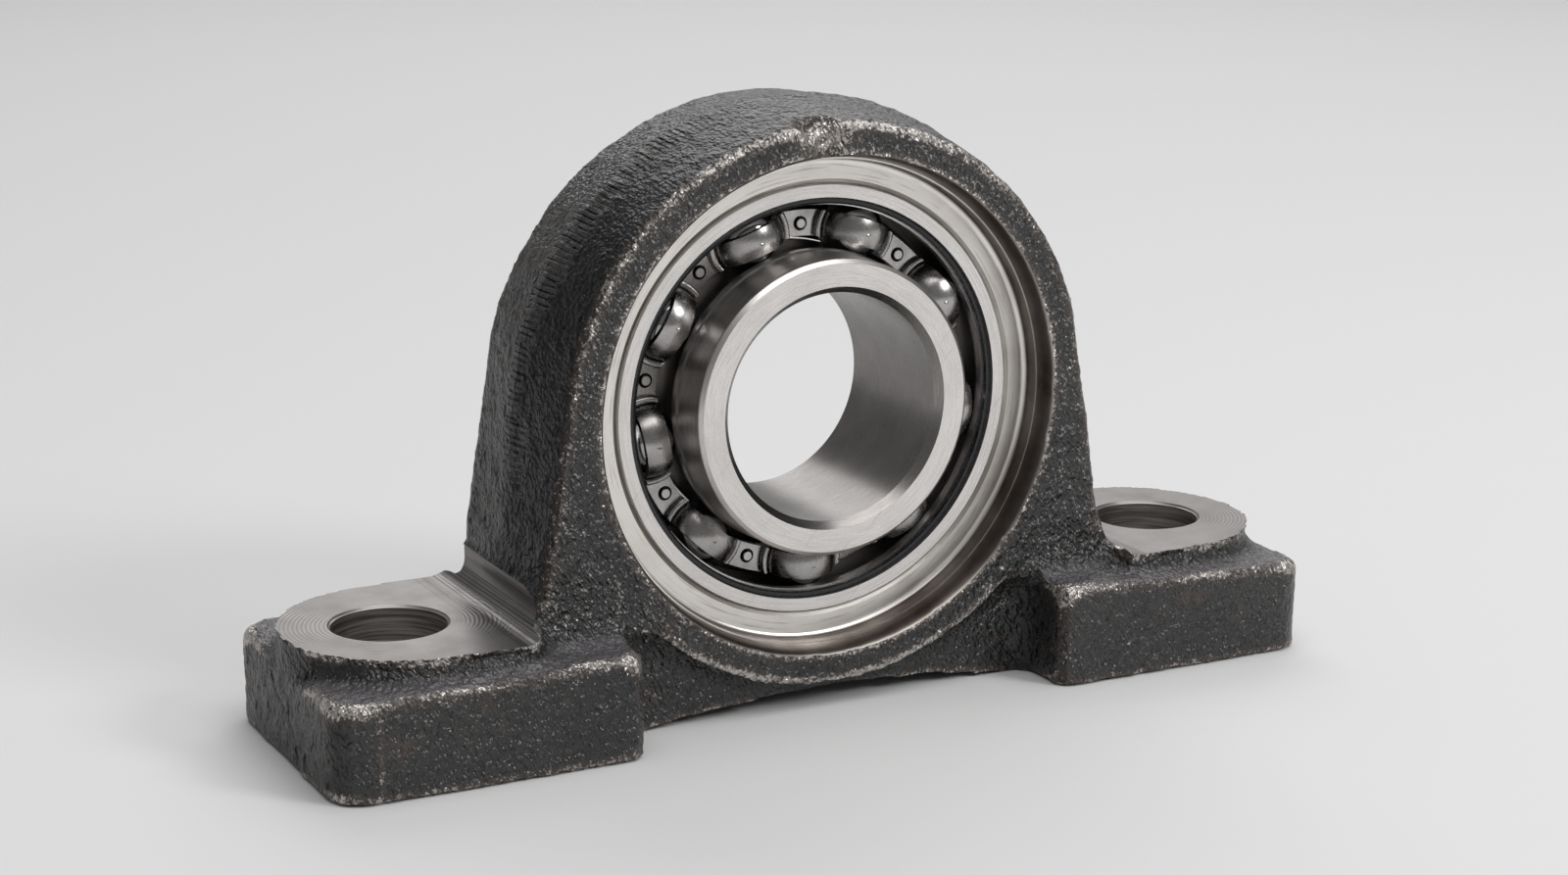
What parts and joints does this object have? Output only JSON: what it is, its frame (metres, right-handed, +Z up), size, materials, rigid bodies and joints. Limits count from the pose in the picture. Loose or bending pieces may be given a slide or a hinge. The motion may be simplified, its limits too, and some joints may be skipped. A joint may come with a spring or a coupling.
{
  "type": "pillow block bearing",
  "caption": "Cast foot-mounted bearing housing with a turned recess round an open ball bearing that has a wide inner ring and a riveted steel cage.",
  "frame": {"origin": "bottom centre of the base, under the middle of the bearing", "axes": "+X along the base from foot to foot, +Y along the shaft with the front at -Y, +Z up"},
  "size_m": [0.212, 0.06, 0.1187],
  "materials": {
    "cast_housing": "rough cast, dark, with milled and turned faces",
    "ring_steel": "ground satin",
    "ball_steel": "polished",
    "cage_steel": "stamped, worn bright on the domes",
    "rivet_steel": "satin",
    "seal_rubber": "smooth black"
  },
  "bodies": {
    "housing_body": {"housing": "cast_housing", "bearing_outer_ring": "ring_steel", "front_seal_ring": "seal_rubber", "rear_seal_ring": "seal_rubber"},
    "inner_ring_body": {"bearing_inner_ring": "ring_steel"},
    "cage_body": {"cage_front": "cage_steel", "cage_rear": "cage_steel", "cage_rivet_1": "rivet_steel", "cage_rivet_2": "rivet_steel", "cage_rivet_3": "rivet_steel", "cage_rivet_4": "rivet_steel", "cage_rivet_5": "rivet_steel", "cage_rivet_6": "rivet_steel", "cage_rivet_7": "rivet_steel", "cage_rivet_8": "rivet_steel", "cage_rivet_9": "rivet_steel"},
    "ball_1_body": {"ball_1": "ball_steel"},
    "ball_2_body": {"ball_2": "ball_steel"},
    "ball_3_body": {"ball_3": "ball_steel"},
    "ball_4_body": {"ball_4": "ball_steel"},
    "ball_5_body": {"ball_5": "ball_steel"},
    "ball_6_body": {"ball_6": "ball_steel"},
    "ball_7_body": {"ball_7": "ball_steel"},
    "ball_8_body": {"ball_8": "ball_steel"},
    "ball_9_body": {"ball_9": "ball_steel"}
  },
  "joints": [
    {"name": "inner_ring_spin", "type": "hinge", "parent": "housing_body", "child": "inner_ring_body", "pos_m": [0, 0, 0.06], "axis": [0, 1, 0], "continuous": true},
    {"name": "cage_spin", "type": "hinge", "parent": "housing_body", "child": "cage_body", "pos_m": [0, -0.002, 0.06], "axis": [0, 1, 0], "continuous": true},
    {"name": "ball_1_spin", "type": "hinge", "parent": "cage_body", "child": "ball_1_body", "pos_m": [0.02923, -0.002, 0.07687], "axis": [0, 1, 0], "continuous": true},
    {"name": "ball_2_spin", "type": "hinge", "parent": "cage_body", "child": "ball_2_body", "pos_m": [0.01154, -0.002, 0.09171], "axis": [0, 1, 0], "continuous": true},
    {"name": "ball_3_spin", "type": "hinge", "parent": "cage_body", "child": "ball_3_body", "pos_m": [-0.01154, -0.002, 0.09171], "axis": [0, 1, 0], "continuous": true},
    {"name": "ball_4_spin", "type": "hinge", "parent": "cage_body", "child": "ball_4_body", "pos_m": [-0.02923, -0.002, 0.07687], "axis": [0, 1, 0], "continuous": true},
    {"name": "ball_5_spin", "type": "hinge", "parent": "cage_body", "child": "ball_5_body", "pos_m": [-0.03324, -0.002, 0.05414], "axis": [0, 1, 0], "continuous": true},
    {"name": "ball_6_spin", "type": "hinge", "parent": "cage_body", "child": "ball_6_body", "pos_m": [-0.02169, -0.002, 0.03415], "axis": [0, 1, 0], "continuous": true},
    {"name": "ball_7_spin", "type": "hinge", "parent": "cage_body", "child": "ball_7_body", "pos_m": [0, -0.002, 0.02625], "axis": [0, 1, 0], "continuous": true},
    {"name": "ball_8_spin", "type": "hinge", "parent": "cage_body", "child": "ball_8_body", "pos_m": [0.02169, -0.002, 0.03415], "axis": [0, 1, 0], "continuous": true},
    {"name": "ball_9_spin", "type": "hinge", "parent": "cage_body", "child": "ball_9_body", "pos_m": [0.03324, -0.002, 0.05414], "axis": [0, 1, 0], "continuous": true}
  ],
  "couplings": [
    {"joint": "cage_spin", "follows": "inner_ring_spin", "ratio": 0.40593},
    {"joint": "ball_1_spin", "follows": "inner_ring_spin", "ratio": -2.5634},
    {"joint": "ball_2_spin", "follows": "inner_ring_spin", "ratio": -2.5634},
    {"joint": "ball_3_spin", "follows": "inner_ring_spin", "ratio": -2.5634},
    {"joint": "ball_4_spin", "follows": "inner_ring_spin", "ratio": -2.5634},
    {"joint": "ball_5_spin", "follows": "inner_ring_spin", "ratio": -2.5634},
    {"joint": "ball_6_spin", "follows": "inner_ring_spin", "ratio": -2.5634},
    {"joint": "ball_7_spin", "follows": "inner_ring_spin", "ratio": -2.5634},
    {"joint": "ball_8_spin", "follows": "inner_ring_spin", "ratio": -2.5634},
    {"joint": "ball_9_spin", "follows": "inner_ring_spin", "ratio": -2.5634}
  ]
}
